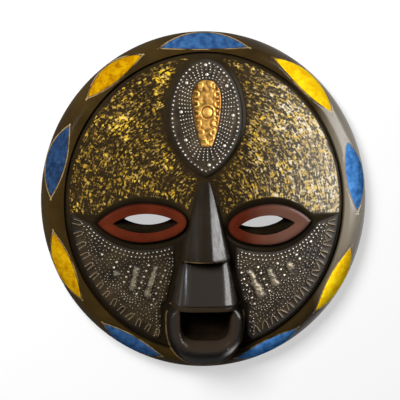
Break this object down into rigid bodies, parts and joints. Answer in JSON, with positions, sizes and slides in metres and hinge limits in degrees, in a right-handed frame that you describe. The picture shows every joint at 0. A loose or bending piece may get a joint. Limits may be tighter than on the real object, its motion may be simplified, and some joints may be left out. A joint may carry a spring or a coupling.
{
  "type": "african wall mask",
  "caption": "Round carved wooden African mask with painted rim, red eyes, long nose and open mouth, with embossed metal sheets, lying on its back.",
  "frame": {"origin": "middle of the flat back edge that the mask lies on", "axes": "+X to the viewer's right of the face, +Y towards the forehead, +Z out of the face; the mask lies face up"},
  "size_m": [0.3, 0.312, 0.0748],
  "materials": {
    "painted_wood": "dark paint and polish, satin",
    "dark_aluminium": "embossed, blackened, its high dots rubbed bare",
    "brass": "embossed, tarnished"
  },
  "bodies": {
    "root": {"wooden_mask": "painted_wood", "forehead_sheet": "dark_aluminium", "brass_leaf": "brass", "left_cheek_sheet": "dark_aluminium", "right_cheek_sheet": "dark_aluminium"}
  },
  "joints": []
}
